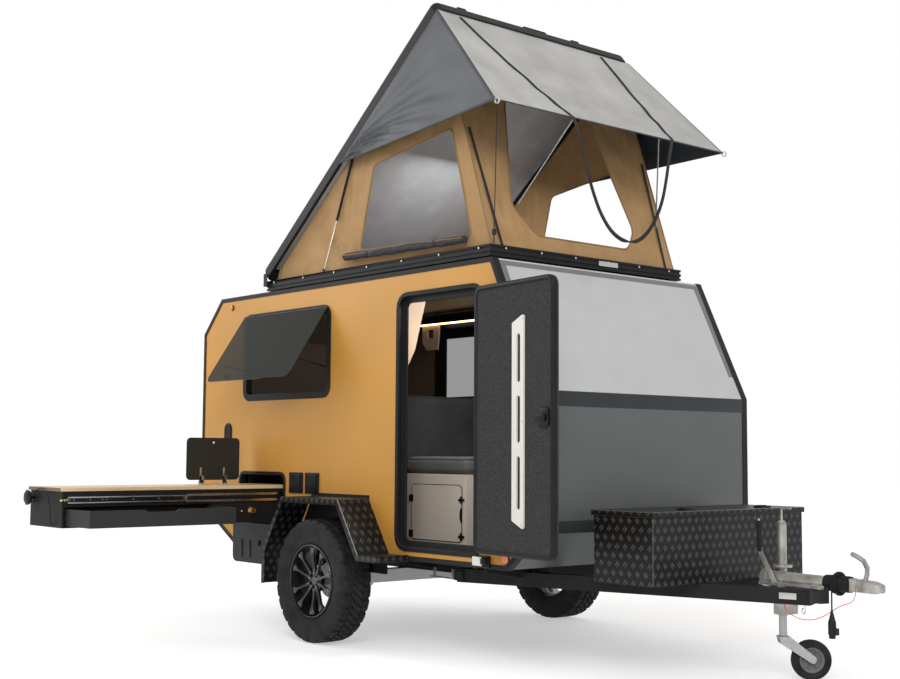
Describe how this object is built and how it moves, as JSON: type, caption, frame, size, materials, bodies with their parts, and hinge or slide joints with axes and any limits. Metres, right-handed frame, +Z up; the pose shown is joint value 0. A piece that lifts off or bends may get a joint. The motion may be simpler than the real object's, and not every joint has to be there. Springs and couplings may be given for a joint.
{
  "type": "off-road caravan with rooftop tent",
  "caption": "Small off-road caravan with an open rooftop tent, an entry door, a slide-out kitchen, a drawbar storage box and a jockey wheel.",
  "frame": {"origin": "on the ground, under the middle of the outline seen from above", "axes": "+X forward to the coupling, +Y to the left, +Z up"},
  "size_m": [5.002, 3.6205, 3.9385],
  "materials": {
    "ochre_skin": "satin ochre sandwich panel",
    "black_skin": "satin black",
    "grey_skin": "satin dark grey",
    "silver_skin": "brushed silver panel",
    "black_trim": "textured black coat",
    "rubber_seal": "matt seal",
    "grey_felt": "needled felt",
    "cream_board": "pale faced board",
    "tinted_acrylic": "tinted",
    "bamboo": "oiled strips",
    "bright_steel": "brushed",
    "seat_cloth": "woven",
    "dark_board": "dark laminate",
    "black_steel": "powder coat",
    "cable_rubber": "matt cable",
    "orange_cord": "sheathed cable",
    "zinc_steel": "hot dip zinc",
    "tyre": "all terrain",
    "black_alloy": "gloss black with machined edges",
    "tread_plate": "black tread plate",
    "wheel_rubber": "worn",
    "tan_canvas": "ripstop cotton",
    "grey_fly": "coated polyester"
  },
  "bodies": {
    "caravan": {"side_wall_right": "ochre_skin", "side_wall_left": "ochre_skin", "roof_panel": "black_skin", "rear_wall": "ochre_skin", "floor_panel": "black_skin", "front_wall_lower": "grey_skin", "front_wall_upper": "silver_skin", "edge_trim_right": "black_trim", "edge_trim_left": "black_trim", "door_frame": "rubber_seal", "window_frame_right": "rubber_seal", "window_frame_left": "rubber_seal", "window_sash_right": "tinted_acrylic", "window_sash_left": "tinted_acrylic", "kitchen_frame": "rubber_seal", "kitchen_hatch": "black_trim", "kitchen_carcass": "black_trim", "kitchen_worktop": "bamboo", "kitchen_rail": "bright_steel", "bench_cabinet": "cream_board", "seat_cushion": "seat_cloth", "back_cushion": "seat_cloth", "side_cabinet": "dark_board", "shield_hinges": "bright_steel", "drawbar_bellows": "rubber_seal", "cable_winding": "cable_rubber", "cable_tail": "cable_rubber", "cable_plug": "cable_rubber", "kitchen_lead": "cable_rubber", "breakaway_cable": "orange_cord", "roof_shelf": "cream_board", "chassis_frame": "black_steel", "axle_beam": "zinc_steel", "fender_right": "tread_plate", "fender_left": "tread_plate", "storage_box": "tread_plate", "overrun_housing": "zinc_steel", "coupling_head": "zinc_steel", "handbrake_lever": "zinc_steel", "jockey_tube": "zinc_steel", "tent_base": "black_trim", "tent_mattress": "seat_cloth", "tent_canvas": "tan_canvas", "tent_fly": "grey_fly"},
    "entry_door": {"entry_door": "grey_felt", "door_rack": "cream_board"},
    "road_wheel_right": {"tyre_right": "tyre", "rim_right": "black_alloy"},
    "road_wheel_left": {"tyre_left": "tyre", "rim_left": "black_alloy"},
    "jockey_fork": {"jockey_fork": "zinc_steel"},
    "jockey_wheel": {"jockey_wheel": "wheel_rubber"},
    "storage_lid": {"storage_lid": "tread_plate"},
    "kitchen_drawer": {"kitchen_drawer": "black_trim"},
    "hob_shield": {"hob_shield": "black_trim"},
    "tent_shell": {"tent_shell": "black_skin"},
    "strut_barrel_left": {"strut_barrel_left": "black_steel"},
    "strut_barrel_right": {"strut_barrel_right": "black_steel"},
    "strut_rod_left": {"strut_rod_left": "bright_steel"},
    "strut_rod_right": {"strut_rod_right": "bright_steel"}
  },
  "joints": [
    {"name": "wheel_right_spin", "type": "hinge", "parent": "caravan", "child": "road_wheel_right", "pos_m": [-0.774, -0.3745, 0.38], "axis": [0, 1, 0], "continuous": true},
    {"name": "wheel_left_spin", "type": "hinge", "parent": "caravan", "child": "road_wheel_left", "pos_m": [-0.774, 1.6845, 0.38], "axis": [0, 1, 0], "continuous": true},
    {"name": "jockey_swivel", "type": "hinge", "parent": "caravan", "child": "jockey_fork", "pos_m": [1.852, 0.735, 0.3], "axis": [0, 0, 1], "continuous": true},
    {"name": "jockey_spin", "type": "hinge", "parent": "jockey_fork", "child": "jockey_wheel", "pos_m": [1.94598, 0.84542, 0.105], "axis": [-0.7615, 0.6481, 0], "continuous": true},
    {"name": "door_hinge", "type": "hinge", "parent": "caravan", "child": "entry_door", "pos_m": [0.566, -0.271, 1.365], "axis": [0, 0, -1], "range_deg": [0, 173]},
    {"name": "storage_lid_hinge", "type": "hinge", "parent": "caravan", "child": "storage_lid", "pos_m": [1.163, 0.655, 0.85], "axis": [0, -1, 0], "range_deg": [0, 95]},
    {"name": "drawer_slide", "type": "slide", "parent": "caravan", "child": "kitchen_drawer", "axis": [-1, 0, 0], "range_m": [0, 0.32]},
    {"name": "hob_shield_hinge", "type": "hinge", "parent": "caravan", "child": "hob_shield", "pos_m": [-1.869, -0.53, 0.9663], "axis": [0, 1, 0], "range_deg": [0, 88]},
    {"name": "tent_hinge", "type": "hinge", "parent": "caravan", "child": "tent_shell", "pos_m": [-1.777, 0.655, 2.4], "axis": [0, 1, 0], "range_deg": [0, 38.5], "deforming": ["tent_canvas", "tent_fly"]},
    {"name": "strut_pivot_right", "type": "hinge", "parent": "caravan", "child": "strut_rod_right", "pos_m": [-1.116, -0.155, 2.382], "axis": [0, 1, 0], "range_deg": [0, 65.46]},
    {"name": "strut_stroke_right", "type": "slide", "parent": "strut_rod_right", "child": "strut_barrel_right", "axis": [-0.3908, 0, -0.9205], "range_m": [0, 0.2637]},
    {"name": "strut_pivot_left", "type": "hinge", "parent": "caravan", "child": "strut_rod_left", "pos_m": [-1.116, 1.465, 2.382], "axis": [0, 1, 0], "range_deg": [0, 65.46]},
    {"name": "strut_stroke_left", "type": "slide", "parent": "strut_rod_left", "child": "strut_barrel_left", "axis": [-0.3908, 0, -0.9205], "range_m": [0, 0.2637]}
  ],
  "couplings": [
    {"joint": "strut_pivot_right", "follows": "tent_hinge", "ratio": 1.6976},
    {"joint": "strut_stroke_right", "follows": "tent_hinge", "m_per_rad": 0.39097},
    {"joint": "strut_pivot_left", "follows": "tent_hinge", "ratio": 1.6976},
    {"joint": "strut_stroke_left", "follows": "tent_hinge", "m_per_rad": 0.39097}
  ]
}
